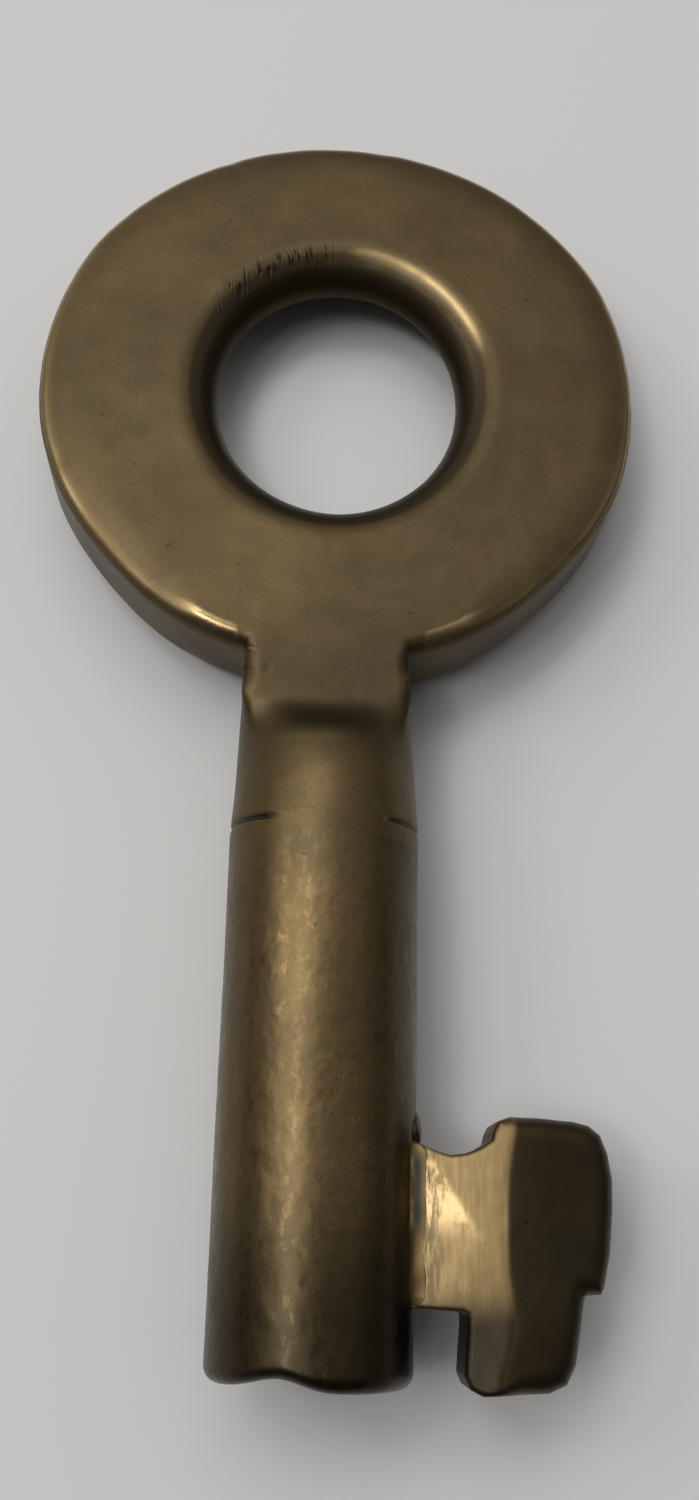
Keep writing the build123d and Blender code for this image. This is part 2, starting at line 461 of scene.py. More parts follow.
# the settled surface, moved along its own slope by lumps, pits and nicks of the rim
def makeBow(s, material):
    points, faces, outward, turn = settledCopy("bow", bowDistance, s)
    x, y = points[:, 0], points[:, 1]
    azimuth = np.degrees(np.arctan2(y, x))
    pastDish = np.hypot(x, y) - holeRadius(x, y) - s["dish"]
    shift = lumpLayers(points, s["lumps"])
    spots = np.zeros(len(points))
    for place, radius, depth in s["pits"]:
        pit = hollow(points, place, radius, depth)
        shift += pit
        spots = np.maximum(spots, -pit / depth)
    nicks = s["nicks"]
    draw = np.random.default_rng(nicks["seed"])
    angles = draw.uniform(0, 2 * math.pi, nicks["count"])
    sides = draw.choice([-1, 1], nicks["count"])
    radii = draw.uniform(*nicks["radius"], nicks["count"])
    depths = draw.uniform(*nicks["depth"], nicks["count"])
    for angle, side, radius, depth in zip(angles, sides, radii, depths):
        place = (nicks["out"] * math.cos(angle), nicks["out"] * math.sin(angle), nicks["height"] * side)
        shift += hollow(points, place, radius, depth)
    shift *= smoothStep(y, *s["lumpsY"])
    points = points + shift[:, None] * outward

    x, y, z = points[:, 0], points[:, 1], points[:, 2]
    beside, dishEdgeHighlight, rise = s["besideNeck"], s["dishEdgeHighlight"], s["rise"]
    filed, neckDarker = s["filed"], s["neckDarker"]
    away = 1 - smoothStep(np.abs(x), *beside["x"]) * smoothStep(y, *beside["y"])
    # golden wear on the turning edges, and a painted highlight along the dish's outer edge at the upper right
    litDishEdge = bell(pastDish, 0, dishEdgeHighlight["width"]) * smoothStep(azimuth, *dishEdgeHighlight["start"])
    litDishEdge *= dishEdgeHighlight["amount"] * smoothStep(azimuth, *dishEdgeHighlight["end"])
    atMiddle = rise["least"] + (1 - rise["least"]) * smoothStep(np.abs(x), *rise["side"])
    climbShade = smoothStep(outward[:, 1], *rise["lean"])
    climbShade *= smoothStep(y, *rise["upper"]) * smoothStep(y, *rise["lower"])
    fileMarks = smoothStep(z, *filed["height"]) * bell(pastDish, *filed["r"])
    fileMarks *= smoothStep(azimuth, *filed["start"]) * smoothStep(azimuth, *filed["end"])
    wearAndHighlight = np.maximum(np.clip(turn, 0, s["sharpest"]) * away, litDishEdge)
    masks = {
        "edge": wearAndHighlight * smoothStep(outward[:, 2], *s["upward"]),
        # painted shade in concave corners
        "corner": np.clip(-turn, 0, s["sharpest"]),
        # painted shade on the neck's climb
        "rise": climbShade * atMiddle,  # where the neck climbs from the flat face, most at its middle
        # darker in the hole: partly dirt, partly painted shade
        "inHole": smoothStep(-pastDish, *s["inHole"]),
        "spots": spots,
        "filed": fileMarks,
        "neckDarker": bell(y, *neckDarker["y"]) * smoothStep(np.abs(x), *neckDarker["side"]),
    }
    makePiece("bow_worn", points, faces, material, ("bow",), masks)


# barrel: turned, with uneven walls and a mouth that isn't quite square

barrelSettings = {
    "start": -21.3,
    "mouth": -41.92,
    "radius": 3.97,
    "mouthRound": 0.55,
    "bore": 2.45,
    "boreEnd": -25.42,
    "chamfer": 0.25,
    "around": 240,
    "wallRings": 150,
    "roundRings": 13,
    "boreRings": 50,
    "startRadii": (1.0, 2.0, 3.0, 3.8),  # rings across the hidden upper end
    "mouthRadius": 3.0,  # a ring across the mouth's flat
    "endRadii": (1.6, 0.8),  # rings across the bore's end
    "reach": 0.2,  # how far the mouth reaches beyond the drawn length
    "skew": 0.12,  # and how much further on the bit's side
    "skewX": (-2.6, 0.2),
    "skewPower": 8,  # how soon the lean ends, away from the mouth
    "dent": 0.42,  # depth of the dent in its front edge
    "dentX": -1.1,
    "dentWidth": 1.2,
    "dentFront": (0.5, 2.5),
    "dentPower": 12,
    "longLumps": ((0.018, 4.0, 11),),  # height, size, seed
    "longer": 0.35,
    "lumps": ((0.004, 1.5, 12), (0.0015, 0.7, 13)),
    "lumpsFrom": (0.02, 0.12),  # share of the length in which the lumps set in
    # the mouth's round edge carries painted shade, strongest at this ring
    "edgeRing": 160,  # ring in the middle of the mouth's round
    "edgeRings": 8,  # rings over which the dark edge fades on each side of it
}


# a path in radius and y, carried once round the barrel's axis; the mouth leans, with a bell-shaped dent in
# its front edge, and lumps move the outer wall
def makeBarrel(s, material):
    wall = np.linspace(s["start"], s["mouth"] + s["mouthRound"], s["wallRings"])
    bend = np.radians(np.linspace(0, 90, s["roundRings"] + 1))[1:]
    walls = np.full(s["wallRings"], s["radius"])
    rounded = s["radius"] - s["mouthRound"] * (1 - np.cos(bend))
    outerRadius = np.concatenate([s["startRadii"], walls, rounded])
    roundedY = s["mouth"] + s["mouthRound"] * (1 - np.sin(bend))
    outerY = np.concatenate([np.full(len(s["startRadii"]), s["start"]), wall, roundedY])
    bore = np.linspace(s["mouth"] + s["chamfer"], s["boreEnd"], s["boreRings"])
    mouthRadii = (s["mouthRadius"], s["bore"] + s["chamfer"])
    innerRadius = np.concatenate([mouthRadii, np.full(s["boreRings"], s["bore"]), s["endRadii"]])
    innerY = np.concatenate([np.full(2, s["mouth"]), bore, np.full(2, s["boreEnd"])])
    radius = np.concatenate([outerRadius, innerRadius])
    y = np.concatenate([outerY, innerY])
    angle = np.linspace(0, 2 * math.pi, s["around"], endpoint=False)
    x = radius[:, None] * np.sin(angle)
    z = radius[:, None] * np.cos(angle)
    grid = np.stack([x, np.broadcast_to(y[:, None], x.shape), z], axis=-1).reshape(-1, 3)

    depth = np.clip((s["start"] - grid[:, 1]) / (s["start"] - s["mouth"]), 0, 1)
    lean = s["skew"] * (smoothStep(grid[:, 0], *s["skewX"]) - 0.5)
    grid[:, 1] -= (s["reach"] + lean) * depth ** s["skewPower"]
    dent = s["dent"] * bell(grid[:, 0], s["dentX"], s["dentWidth"]) * smoothStep(grid[:, 2], *s["dentFront"])
    grid[:, 1] += dent * depth ** s["dentPower"]
    outer = np.repeat(np.arange(len(radius)) < len(outerRadius), s["around"])
    stretched = grid * np.array([1, s["longer"], 1])
    shift = lumpLayers(stretched, s["longLumps"]) + lumpLayers(grid, s["lumps"])
    shift *= outer * smoothStep(depth, *s["lumpsFrom"])
    length = np.maximum(np.hypot(grid[:, 0], grid[:, 2]), tiny)
    grid[:, 0] += shift * grid[:, 0] / length
    grid[:, 2] += shift * grid[:, 2] / length
    ends = np.array([[0, s["start"], 0], [0, s["boreEnd"], 0]])
    rings = len(radius)
    edge = np.clip(1 - np.abs(np.arange(rings) - s["edgeRing"]) / s["edgeRings"], 0, 1)
    masks = {
        "edge": np.concatenate([np.repeat(edge, s["around"]), [0, 0]]),
        # painted shade inside the bore
        "boreShade": np.concatenate([~outer, [False, True]]) * 1.0,
    }
    points = np.concatenate([grid, ends])
    faces = tubeFaces(rings, s["around"])
    makePiece("barrel_worn", points, faces, material, ("barrel",), masks)


# bit: outline with a wedge section, and a head with soft corners

bitSettings = {
    "outline": (
        (2.6, -33.2), (3.9, -33.25), (4.23, -33.38), (4.73, -33.58), (5.23, -33.73), (5.81, -33.67),
        (6.38, -33.43), (6.8, -33.15), (6.88, -32.8), (7.05, -32.44), (7.55, -32.24), (8.73, -32.23),
        (10.14, -32.31), (10.78, -32.45), (11.25, -32.8), (11.55, -33.45), (11.72, -34.42), (11.7, -35.62),
        (11.54, -37.21), (11.25, -38.45), (11.12, -38.72), (10.46, -38.77), (10.29, -39.9), (10.04, -41.24),
        (9.68, -41.93), (9.01, -42.22), (6.4, -42.3), (5.94, -42.08), (5.74, -41.64), (5.87, -39.99),
        (5.87, -39.5), (5.63, -39.41), (4.19, -39.37), (2.6, -39.37),
    ),
    "rootX": 3.8,
    "rootHalf": 1.1,
    "ridgeHalf": 1.9,
    "ridgeX": 7.3,
    "ridgeWaves": ((-32.0, 0.45, 2.0), (-39.6, 0.27, 1.3), (-42.3, -0.25, 1.2)),  # y, amount, width
    "ridgeSoft": 0.12,
    "outerFall": 0.185,
    "headX": (6.6, 8.2),
    "webSoft": 0.2,
    "headSofter": 0.7,
    "voxel": 0.09,
    "slopeStep": 0.05,
    "turnReach": 0.15,
    "sharpest": 2.0,
    "headLumps": ((0.012, 3.0, 21),),  # height, size, seed
    "headLumpsX": (6.5, 8.0),
    "lumps": ((0.004, 0.9, 22),),
    "dark": (-0.08, 0.1),  # the finish changes from web to head this far from the ridge
    # the ridge's golden line is wear and a painted highlight
    "wearAndHighlight": {"x": (-0.02, 0.1), "y": (-36.2, 1.8)},  # middle and width of the worn part of the ridge
    # painted highlight on the web: x and y of its upper corner, lean of its outer side, and its soft sides
    "highlightPatch": {
        "x": 4.6,
        "y": -33.9,
        "lean": 0.62,
        "side": (-0.15, 0.2),
        "upper": (-33.8, -34.1),
        "lower": (-37.0, -35.6),
    },
}


# shortest distance to a closed outline's sides, below 0 inside it
def outlineDistance(x, y, corners):
    a = np.array(corners)
    b = np.roll(a, -1, axis=0)
    run = b - a
    dx, dy = x[:, None] - a[:, 0], y[:, None] - a[:, 1]
    t = np.clip((dx * run[:, 0] + dy * run[:, 1]) / (run**2).sum(axis=1), 0, 1)
    gap = np.hypot(dx - t * run[:, 0], dy - t * run[:, 1]).min(axis=1)
    between = (a[:, 1] > y[:, None]) != (b[:, 1] > y[:, None])
    rise = np.where(run[:, 1] == 0, tiny, run[:, 1])
    crossed = between & (dx < run[:, 0] * dy / rise)
    return np.where(crossed.sum(axis=1) % 2 == 1, -gap, gap)


# the ridge's x along y: a middle value and bell curves
def ridgeLine(y):
    s = bitSettings
    return s["ridgeX"] + sum(amount * bell(y, at, width) for at, amount, width in s["ridgeWaves"])


# distance from the bit's surface: the outline, thick as two slopes that meet in a soft ridge
def bitDistance(p):
    s = bitSettings
    x, y, z = p[:, 0], p[:, 1], np.abs(p[:, 2])
    ridge = ridgeLine(y)
    rise = s["rootHalf"] + (x - s["rootX"]) * (s["ridgeHalf"] - s["rootHalf"]) / (ridge - s["rootX"])
    fall = s["ridgeHalf"] - (x - ridge) * s["outerFall"]
    half = softMin(rise, fall, s["ridgeSoft"])
    soft = s["webSoft"] + s["headSofter"] * smoothStep(x, *s["headX"])
    return softMax(outlineDistance(x, y, s["outline"]), z - half, soft)


# the settled surface, moved along its own slope by lumps
def makeBit(s, material):
    points, faces, outward, turn = settledCopy("bit", bitDistance, s)
    x = points[:, 0]
    onHead = lumpLayers(points, s["headLumps"]) * smoothStep(x, *s["headLumpsX"])
    shift = onHead + lumpLayers(points, s["lumps"])
    points = points + shift[:, None] * outward
    y = points[:, 1]
    fromRidge = x - ridgeLine(y)
    highlightPatch, wearAndHighlight = s["highlightPatch"], s["wearAndHighlight"]
    inPatch = smoothStep(highlightPatch["x"] + (highlightPatch["y"] - y) * highlightPatch["lean"] - x, *highlightPatch["side"])
    masks = {
        "edge": np.clip(turn, 0, s["sharpest"]),
        "corner": np.clip(-turn, 0, s["sharpest"]),
        "head": smoothStep(fromRidge, *s["dark"]),
        "ridge": bell(fromRidge, *wearAndHighlight["x"]) * bell(y, *wearAndHighlight["y"]),
        # painted highlight on the web
        "highlightPatch": inPatch * smoothStep(y, *highlightPatch["upper"]) * smoothStep(y, *highlightPatch["lower"]),
    }
    makePiece("bit_worn", points, faces, material, ("bit",), masks)


# brazing metal

solderSettings = {
    "from": -19.7,
    "to": -21.9,
    "rings": 73,
    "around": 480,
    "inner": 2.6,
    "proud": 0.004,
    "tuck": 0.014,  # how much lower its two ends lie, and the share of the way to them where that starts
    "tuckFrom": (0.5, 1.0),
    "line": -20.7,
    "leftLean": 0.4,  # how far the line drops towards the mouth as it comes over the left side
    "rightLean": 0.2,
    "leftEnd": 0.86,  # cosine of the angle at which the line ends on the left
    "rightEnd": 0.82,
    "fade": (-0.1, 0.02),  # the line fades out over this much of that cosine
    "depth": 0.18,
    "width": 0.11,
}


# sleeve over the joint: as wide as neck and barrel, with a groove at the sides that ends before the crown;
# the groove is a bell curve across a line that leans a little as it comes over each side
def makeNeckSolder(s, material):
    angle = np.linspace(0, 2 * math.pi, s["around"], endpoint=False)
    t = np.linspace(-1, 1, s["rings"])
    y = (s["from"] + s["to"]) / 2 - (s["from"] - s["to"]) / 2 * t
    left = np.sin(angle) < 0
    line = s["line"] - np.where(left, s["leftLean"], s["rightLean"]) * (1 - np.abs(np.sin(angle)))
    end = np.where(left, s["leftEnd"], s["rightEnd"])
    flush = smoothStep(np.abs(np.cos(angle)), end + s["fade"][0], end + s["fade"][1])
    groove = bell(y[:, None], line, s["width"]) * (1 - flush)
    nominal = np.where(y > s["line"], neckRadius(y), barrelSettings["radius"])
    nominal = nominal + s["proud"] - s["tuck"] * smoothStep(np.abs(t), *s["tuckFrom"])
    innerRing = np.full((1, s["around"]), s["inner"])
    radius = np.concatenate([innerRing, nominal[:, None] - s["depth"] * groove, innerRing])
    y = np.concatenate([y[:1], y, y[-1:]])
    down = np.broadcast_to(y[:, None], radius.shape)
    grid = np.stack([radius * np.sin(angle), down, radius * np.cos(angle)], axis=-1)
    points = np.concatenate([grid.reshape(-1, 3), [[0, y[0], 0], [0, y[-1], 0]]])
    masks = {"line": np.concatenate([angle * 0, groove.ravel(), angle * 0, [0, 0]])}
    faces = tubeFaces(len(y), s["around"])
    makePiece("neck_solder_ring", points, faces, material, ("neck_solder",), masks)


rootSettings = {
    "top": -33.3,
    "length": 6.0,
    "rings": 120,
    "across": 13,
    "runOut": 0.06,  # share of the length in which each end runs out to nothing
    "onWeb": 0.5,
    "onWebLumps": (1.4, 31),  # size, seed
    "onBarrel": 0.42,
    "onBarrelLumps": (1.1, 33),
    "uneven": 0.06,
    "least": 0.02,
    "webSlope": 0.222,
    "sunk": 0.01,
    "hollow": 0.16,
    "hollowX": 0.75,
    "hollowZ": 0.65,
    # the hidden side, inside barrel and web
    "hiddenX": 3.2,
    "hiddenZ": 0.7,
    "hiddenWeb": 0.3,
    "hiddenHigh": 0.1,
    "streaksUpper": (-33.5, -34.1),
    "streaksLower": (-36.9, -36.1),
    "greyStreak": (0.36, 0.2),  # middle and width, from 0 on the web to 1 on the barrel
    # painted highlight: the pale streak along the fillet, its middle and width
    "highlightStreak": (0.74, 0.17),
}


# fillet along the bit's root: a hollow arc from the web to the barrel, carried along the root, its width
# changing in lumps and running out to nothing at both ends
def makeRootSolder(s, name, replaced, front, material):
    t = np.linspace(0, 1, s["rings"])
    y = s["top"] - s["length"] * t
    fade = np.clip(np.minimum(t / s["runOut"], (1 - t) / s["runOut"]), 0, 1) ** 0.5
    along = np.stack([t * 0, y, t * 0], axis=-1)

    def legLength(middle, size, seed):
        return fade * (middle + s["uneven"] * lumps(along, size, seed + front)) + s["least"]

    width = legLength(s["onWeb"], *s["onWebLumps"])
    high = bitSettings["rootHalf"] + legLength(s["onBarrel"], *s["onBarrelLumps"])
    across = np.linspace(0, 1, s["across"])
    webX = bitSettings["rootX"] + width
    webZ = bitSettings["rootHalf"] + s["webSlope"] * width - s["sunk"]
    barrelX = np.sqrt(barrelSettings["radius"] ** 2 - high**2) - s["sunk"]
    x = webX[:, None] + (barrelX - webX)[:, None] * across
    z = webZ[:, None] + (high - webZ)[:, None] * across
    sag = (s["hollow"] * np.sin(math.pi * across))[None, :] * fade[:, None]
    x, z = x - s["hollowX"] * sag, z - s["hollowZ"] * sag
    hiddenX = np.stack([t * 0 + s["hiddenX"], t * 0 + s["hiddenX"], webX - s["hiddenWeb"]], axis=-1)
    hiddenZ = np.stack([high - s["hiddenHigh"], t * 0 + s["hiddenZ"], t * 0 + s["hiddenZ"]], axis=-1)
    x = np.concatenate([x, hiddenX], axis=1)
    z = np.concatenate([z, hiddenZ], axis=1)
    grid = np.stack([x, np.broadcast_to(y[:, None], x.shape), z if front else -z], axis=-1)
    points = np.concatenate([grid.reshape(-1, 3), [grid[0].mean(axis=0), grid[-1].mean(axis=0)]])
    faces = tubeFaces(len(t), x.shape[1])
    if not front:
        faces = [face[::-1] for face in faces]
    place = np.concatenate([np.tile(np.concatenate([across, [1, 0, 0]]), len(t)), [0, 0]])
    streaked = smoothStep(points[:, 1], *s["streaksUpper"]) * smoothStep(points[:, 1], *s["streaksLower"])
    masks = {
        "grey": bell(place, *s["greyStreak"]) * streaked,
        "pale": bell(place, *s["highlightStreak"]) * streaked,
    }
    makePiece(name, points, faces, material, (replaced,), masks)


rootEndSettings = {
    "centre": (3.84, -32.82, 0.15),
    "radii": (0.37, 0.84, 0.95),
    "around": 64,
    "rings": 40,
    "uneven": 0.06,
    "lumps": (1.5, 41),  # size, seed
}


# drop of brazing metal above the web: an egg shape with small lumps, sunk most of its width into the barrel
def makeRootEnd(s, material):
    lean = np.linspace(0, math.pi, s["rings"] + 2)[1:-1, None]
    angle = np.linspace(0, 2 * math.pi, s["around"], endpoint=False)[None, :]
    x, y, z = np.sin(lean) * np.sin(angle), np.cos(lean) + 0 * angle, np.sin(lean) * np.cos(angle)
    unit = np.stack([x, y, z], axis=-1)
    unit = np.concatenate([unit.reshape(-1, 3), [[0, 1, 0], [0, -1, 0]]])
    size = 1 + s["uneven"] * lumps(unit, *s["lumps"])
    points = np.array(s["centre"]) + unit * size[:, None] * np.array(s["radii"])
    faces = tubeFaces(s["rings"], s["around"])
    makePiece("bit_root_end", points, faces, material, ("bit_solder_end",))


# materials; a pattern is a cloud's size in mm, detail, roughness and twist, and comes in between two values

patina = {
    "brown": (0.131, 0.087, 0.035),
    "olive": (0.108, 0.076, 0.033),
    "orange": (0.15, 0.082, 0.03),
    "golden": (0.28, 0.195, 0.08),
    "gold": (0.46, 0.33, 0.155),
    # colour of the painted highlight on the bit's web
    "highlightGold": (0.68, 0.48, 0.23),
    "pale": (0.75, 0.68, 0.5),
    "grey": (0.10, 0.095, 0.085),
    "shaded": (0.055, 0.042, 0.022),
    "dark": (0.016, 0.012, 0.006),
    "clouds": {"pattern": (4.5, 5, 0.6, 0.4), "between": (0.35, 0.68), "roughBetween": (0.3, 0.7)},
    "haze": {"pattern": (2.2, 4, 0.6, 0.8), "between": (0.5, 0.75), "strength": 0.45},
    "grain": {"pattern": (0.12, 3, 0.7), "between": (0.3, 0.75), "strength": 0.25, "height": 0.15},
    "specks": {"pattern": (0.4, 2, 0.5), "between": (0.73, 0.79), "strength": 0.6, "depth": 0.4},
    "dimples": {"pattern": (0.9, 3, 0.5)},
    # two sets of scratches: turn, width, length, share; they show where a cloud lets them
    "scratches": {
        "first": (20, 0.06, 4.0, 0.006),
        "second": (-55, 0.05, 3.0, 0.005),
        "pattern": (3.0, 2),
        "between": (0.5, 0.62),
        "strength": 0.35,
        "depth": 0.2,
    },
    "smooth": 0.4,
    "dull": 0.52,
    "bump": 0.012,
    "metallic": 0.95,
    "coat": 0.12,  # thin clear layer of old lacquer and wax, which whitens the highlights
    "coatRough": 0.3,
}


# aged brass: brown and olive clouds, orange haze, dark grain and specks, golden scratches and a fine bump
def brass(name, s, finish):
    material = bpy.data.materials.new(name)
    material.use_nodes = True
    tree = material.node_tree
    shader = tree.nodes["Principled BSDF"]
    where = placeOn(tree)
    clouds = cloud(tree, where, *s["clouds"]["pattern"])
    colour = mixColour(tree, s["brown"], s["olive"], band(tree, clouds, *s["clouds"]["between"]))
    colour = mixColour(tree, colour, s["orange"], patches(tree, s["haze"], where), s["haze"]["strength"])
    grain = cloud(tree, where, *s["grain"]["pattern"])
    darkGrain = band(tree, grain, *s["grain"]["between"])
    colour = mixColour(tree, colour, s["dark"], darkGrain, s["grain"]["strength"])
    specks = patches(tree, s["specks"], where)
    colour = mixColour(tree, colour, s["dark"], specks, s["specks"]["strength"])
    first, second = scratches(tree, *s["scratches"]["first"]), scratches(tree, *s["scratches"]["second"])
    lines = times(tree, calculate(tree, "MAXIMUM", first, second), patches(tree, s["scratches"], where))
    colour = mixColour(tree, colour, s["golden"], lines, s["scratches"]["strength"])
    low, high = s["clouds"]["roughBetween"]
    inputs = {"Value": clouds, "From Min": low, "From Max": high, "To Min": s["smooth"], "To Max": s["dull"]}
    rough = addNode(tree, "ShaderNodeMapRange", inputs).outputs[0]
    dimples = cloud(tree, where, *s["dimples"]["pattern"])
    height = plus(tree, times(tree, grain, s["grain"]["height"]), dimples)
    height = minus(tree, height, times(tree, lines, s["scratches"]["depth"]))
    height = minus(tree, height, times(tree, specks, s["specks"]["depth"]))
    colour, rough, height = finish(tree, colour, rough, height, s)
    bump = addNode(tree, "ShaderNodeBump", {"Height": height, "Strength": 1.0, "Distance": s["bump"] * mm})
    tree.links.new(colour, shader.inputs["Base Color"])
    tree.links.new(rough, shader.inputs["Roughness"])
    tree.links.new(bump.outputs[0], shader.inputs["Normal"])
    shader.inputs["Metallic"].default_value = s["metallic"]
    shader.inputs["Coat Weight"].default_value = s["coat"]
    shader.inputs["Coat Roughness"].default_value = s["coatRough"]
    return material


bowFinishSettings = {
    "upperY": (-18.5, -11.0),  # the ring is darker than the neck's lower end
    "upperDark": 0.28,
    # wear and painted highlight on edges: golden and smoother
    "wearAndHighlight": (0.08, 0.4),
    "wearHighlightGold": 0.65,
    "wearHighlightRough": 0.2,
    "neckDarkerAmount": 0.4,
    "climbShadeDark": 0.34,
    # painted shade in concave corners
    "corner": (0.3, 1.2),
    # the hole is darker: partly dirt, partly painted shade
    "holeDirtAndShade": 0.55,
    "fileMarks": {
        "stretch": (6, 0.8, 1),
        "turn": -12,
        "pattern": (1.0, 1, 0.4),
        "between": (0.54, 0.66),
        "depth": 4.0,
    },
    "spots": (0.2, 0.9),
}


# golden and smooth on worn edges, with a painted highlight on the dish's upper right edge; painted shade in
# corners and where the neck climbs; dark in the hole with dirt and painted shade; dark in file marks and pits;
# the neck's flat darker beside the ring
def bowFinish(tree, colour, rough, height, s):
    own = bowFinishSettings
    dark = s["dark"]
    upper = band(tree, coordinate(tree, "Y"), *own["upperY"])
    colour = mixColour(tree, colour, dark, upper, own["upperDark"])
    # wear and painted highlight on edges: golden and smoother
    wearAndHighlight = band(tree, mask(tree, "edge"), *own["wearAndHighlight"])
    colour = mixColour(tree, colour, s["gold"], wearAndHighlight, own["wearHighlightGold"])
    inputs = {"Value": wearAndHighlight, "To Min": rough, "To Max": own["wearHighlightRough"]}
    rough = addNode(tree, "ShaderNodeMapRange", inputs).outputs[0]
    # the neck's flat is darker, most a little below the ring
    colour = mixColour(tree, colour, dark, mask(tree, "neckDarker"), own["neckDarkerAmount"])
    # painted shade where the neck climbs
    colour = mixColour(tree, colour, dark, mask(tree, "rise"), own["climbShadeDark"])
    # painted shade in concave corners
    colour = mixColour(tree, colour, dark, band(tree, mask(tree, "corner"), *own["corner"]))
    # the hole is darker: partly dirt, partly painted shade
    colour = mixColour(tree, colour, dark, mask(tree, "inHole"), own["holeDirtAndShade"])
    marks = times(tree, patches(tree, own["fileMarks"]), mask(tree, "filed"))
    colour = mixColour(tree, colour, dark, marks)
    height = minus(tree, height, times(tree, marks, own["fileMarks"]["depth"]))
    colour = mixColour(tree, colour, s["shaded"], band(tree, mask(tree, "spots"), *own["spots"]))
    return colour, rough, height


barrelFinishSettings = {
    "lowerY": (-34.0, -40.0),
    "mouthEndShade": 0.72,
    "rightX": (1.6, 3.7),
    "rightShade": 0.45,
    "dents": {"stretch": (1, 0.8, 1), "pattern": (0.6, 1, 0.4), "height": 2.2},
    "mouthEdgeShade": 0.75,
    "polishY": (-22.0, -27.0),
    "polish": 0.16,
    "glints": {
        "stretch": (1.4, 0.8, 1.4),
        "pattern": (0.5, 3, 0.6, 0.3),
        "between": (0.5, 0.62),
        "amount": 0.1,
    },
}


# painted shade towards the mouth, on the right side, on the mouth's round edge and in the bore; soft dents, a
# polish below its upper end and smoother glints
def barrelFinish(tree, colour, rough, height, s):
    own = barrelFinishSettings
    x, y = coordinate(tree, "X"), coordinate(tree, "Y")
    # painted shade, darker towards the mouth
    colour = mixColour(tree, colour, s["dark"], band(tree, y, *own["lowerY"]), own["mouthEndShade"])
    # painted shade on the right side, towards the bit
    colour = mixColour(tree, colour, s["dark"], band(tree, x, *own["rightX"]), own["rightShade"])
    dents = cloud(tree, placeOn(tree, own["dents"]["stretch"]), *own["dents"]["pattern"])
    height = plus(tree, height, times(tree, dents, own["dents"]["height"]))
    # painted shade on the mouth's round edge
    colour = mixColour(tree, colour, s["dark"], mask(tree, "edge"), own["mouthEdgeShade"])
    # painted shade inside the bore
    colour = mixColour(tree, colour, s["dark"], mask(tree, "boreShade"))
    polish = times(tree, band(tree, y, *own["polishY"]), own["polish"])
    rough = times(tree, rough, minus(tree, 1.0, polish))
    rough = minus(tree, rough, times(tree, patches(tree, own["glints"]), own["glints"]["amount"]))
    return colour, rough, height


bitFinishSettings = {
    "lines": {"stretch": (6, 0.5, 6), "pattern": (1.0, 3, 0.6), "between": (0.25, 0.7)},
    "outerX": (4.4, 7.4),
    "outerBrown": 0.75,
    "lowerY": (-35.5, -38.8),
    "lowerBrown": 0.35,
    "brown": 0.4,
    "legY": (-38.2, -40.0),
    "legShade": 0.94,
    "ragged": {"stretch": (1, 0.6, 1), "pattern": (0.5, 4, 0.7), "between": (0.3, 0.55)},
    "streaks": {"stretch": (5, 0.7, 5), "pattern": (1.0, 3, 0.6), "between": (0.45, 0.62), "strength": 0.75},
    "streaksX": (5.5, 4.3),
    "outerShadeX": (6.6, 9.6),
    "outerShade": 0.22,
    "headPatinaAndShade": 0.56,
    "ridgeWearAndHighlight": 0.45,
}


# web: gold with lines along it, browner outwards and downwards, painted shade on the leg, a painted highlight in
# a ragged patch and dark streaks by the root; head: dark patina and painted shade, most at its outer side, with
# wear and a painted highlight on the ridge
def bitFinish(tree, colour, rough, height, s):
    own = bitFinishSettings
    x, y = coordinate(tree, "X"), coordinate(tree, "Y")
    web = mixColour(tree, s["gold"], s["golden"], patches(tree, own["lines"]))
    web = mixColour(tree, web, s["brown"], band(tree, x, *own["outerX"]), own["outerBrown"])
    web = mixColour(tree, web, s["brown"], band(tree, y, *own["lowerY"]), own["lowerBrown"])
    web = mixColour(tree, web, s["brown"], own["brown"])
    # painted shade on the leg
    web = mixColour(tree, web, s["dark"], band(tree, y, *own["legY"]), own["legShade"])
    # painted highlight: a ragged bright patch on the web
    web = mixColour(tree, web, s["highlightGold"], times(tree, mask(tree, "highlightPatch"), patches(tree, own["ragged"])))
    streaks = times(tree, patches(tree, own["streaks"]), band(tree, x, *own["streaksX"]))
    web = mixColour(tree, web, s["shaded"], streaks, own["streaks"]["strength"])
    # the head: dark patina, with painted shade that grows towards its outer side
    outerShade = times(tree, band(tree, x, *own["outerShadeX"]), own["outerShade"])
    head = mixColour(tree, colour, s["dark"], plus(tree, outerShade, own["headPatinaAndShade"]))
    colour = mixColour(tree, web, head, mask(tree, "head"))
    # wear and a painted highlight on the ridge
    colour = mixColour(tree, colour, s["gold"], mask(tree, "ridge"), own["ridgeWearAndHighlight"])
    return colour, rough, height


grooveDark = (0.1, 0.7)


# dark in the groove of the joint
def jointFinish(tree, colour, rough, height, s):
    colour = mixColour(tree, colour, s["shaded"], band(tree, mask(tree, "line"), *grooveDark))
    return colour, rough, height


rootStreaks = {"stretch": (6, 1.5, 6), "pattern": (1.0, 2, 0.5), "between": (0.35, 0.6)}


# golden, with a broken pale streak of painted highlight and a grey one beside it
def rootFinish(tree, colour, rough, height, s):
    # painted highlight: the broken pale streak
    pale = times(tree, mask(tree, "pale"), patches(tree, rootStreaks))
    colour = mixColour(tree, s["golden"], s["pale"], pale)
    return mixColour(tree, colour, s["grey"], mask(tree, "grey")), rough, height


bowBrass = brass("bow brass", patina, bowFinish)
barrelBrass = brass("barrel brass", patina, barrelFinish)
bitBrass = brass("bit brass", patina, bitFinish)
jointSolder = brass("joint solder", patina, jointFinish)
rootSolder = brass("root solder", patina, rootFinish)
print("materials made")

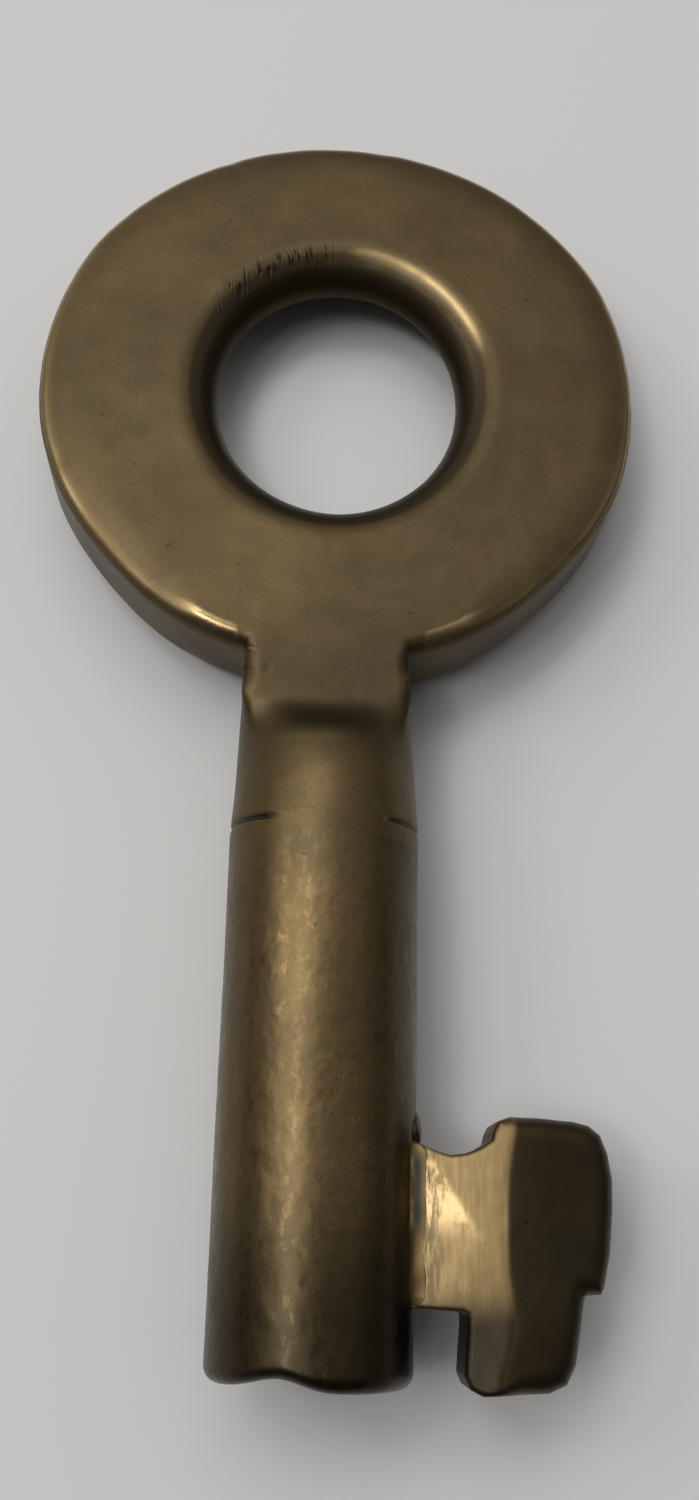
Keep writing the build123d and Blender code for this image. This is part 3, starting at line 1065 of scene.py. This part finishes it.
makeBow(bowSettings, bowBrass)
makeBarrel(barrelSettings, barrelBrass)
makeBit(bitSettings, bitBrass)
makeNeckSolder(solderSettings, jointSolder)
makeRootSolder(rootSettings, "bit_root_front", "bit_solder_front", 1, rootSolder)
makeRootSolder(rootSettings, "bit_root_back", "bit_solder_back", 0, rootSolder)
makeRootEnd(rootEndSettings, barrelBrass)


# floor and light

floorSettings = {
    "half": 1500.0,
    "low": -3.97,
    "touch": -20.82,
    "slope": 2.93,  # the key leans: it rests on the barrel's upper end and the bow's lower rim
    "colour": (0.66, 0.65, 0.635),
    "rough": 0.9,
}


def makeFloor(s):
    slope = math.tan(math.radians(s["slope"]))
    corners = np.array([(-1, -1), (1, -1), (1, 1), (-1, 1)], dtype=float) * s["half"]
    height = s["low"] + (corners[:, 1] - s["touch"]) * slope
    points = np.column_stack([corners, height]) * mm
    mesh = bpy.data.meshes.new("floor")
    mesh.from_pydata(points.tolist(), [], [(0, 1, 2, 3)])
    material = bpy.data.materials.new("pale floor")
    material.use_nodes = True
    shader = material.node_tree.nodes["Principled BSDF"]
    shader.inputs["Base Color"].default_value = (*s["colour"], 1)
    shader.inputs["Roughness"].default_value = s["rough"]
    mesh.materials.append(material)
    floor = bpy.data.objects.new("floor", mesh)
    bpy.context.scene.collection.objects.link(floor)


makeFloor(floorSettings)

lightSettings = {
    "base": 0.05,  # strength of the glow from everywhere
    # the room's glow: where it comes from, how narrow it is, and its strength
    "glows": (
        {"towards": (-0.75, 0.0, 0.66), "narrow": 8.0, "strength": 0.2},
        {"towards": (-0.45, 0.5, 0.75), "narrow": 6.0, "strength": 1.2},
        {"towards": (0.45, 0.4, 0.77), "narrow": 6.0, "strength": 0.6},
    ),
    "aimY": -18.0,  # the lamps point at this place on the key, from a distance in metres
    "distance": 0.4,
    "lamps": (
        {"name": "left", "direction": (-0.95, 0.25, 0.9), "size": 0.08, "power": 0.12},
        {"name": "key", "direction": (-0.57, 0.0, 1.0), "size": 0.08, "power": 0.15},
        {"name": "near", "direction": (-0.42, -0.17, 1.0), "size": 0.06, "power": 0.14},
        {"name": "low", "direction": (-0.23, -0.3, 1.0), "size": 0.07, "power": 0.08},
        {"name": "upper", "direction": (-0.36, 0.3, 1.0), "size": 0.1, "power": 0.2},
        {"name": "behind", "direction": (-0.05, 0.5, 1.0), "size": 0.15, "power": 0.13},
    ),
}


# a weak glow from everywhere and stronger ones, each the cosine of the angle to its middle raised to a power;
# square lamps round the key
def makeLights(s):
    world = bpy.data.worlds.new("studio")
    bpy.context.scene.world = world
    world.use_nodes = True
    tree = world.node_tree
    way = addNode(tree, "ShaderNodeTexCoord").outputs["Generated"]
    total = s["base"]
    for glow in s["glows"]:
        inputs = {0: way, 1: tuple(Vector(glow["towards"]).normalized())}
        near = addNode(tree, "ShaderNodeVectorMath", inputs, operation="DOT_PRODUCT").outputs["Value"]
        lobe = calculate(tree, "POWER", calculate(tree, "MAXIMUM", near, 0.0), glow["narrow"])
        total = plus(tree, total, times(tree, lobe, glow["strength"]))
    background = tree.nodes["Background"]
    background.inputs["Color"].default_value = (1, 1, 1, 1)
    tree.links.new(total, background.inputs["Strength"])
    for lamp in s["lamps"]:
        data = bpy.data.lights.new(lamp["name"], "AREA")
        data.size = lamp["size"]
        data.energy = lamp["power"]
        light = bpy.data.objects.new(lamp["name"], data)
        bpy.context.scene.collection.objects.link(light)
        direction = Vector(lamp["direction"]).normalized()
        turn = direction.to_track_quat("Z", "Y").to_matrix().to_4x4()
        place = direction * s["distance"] + Vector((0, s["aimY"] * mm, 0))
        light.matrix_world = Matrix.Translation(place) @ turn


makeLights(lightSettings)
bpy.context.scene.view_settings.view_transform = "Standard"
print("light and floor set")
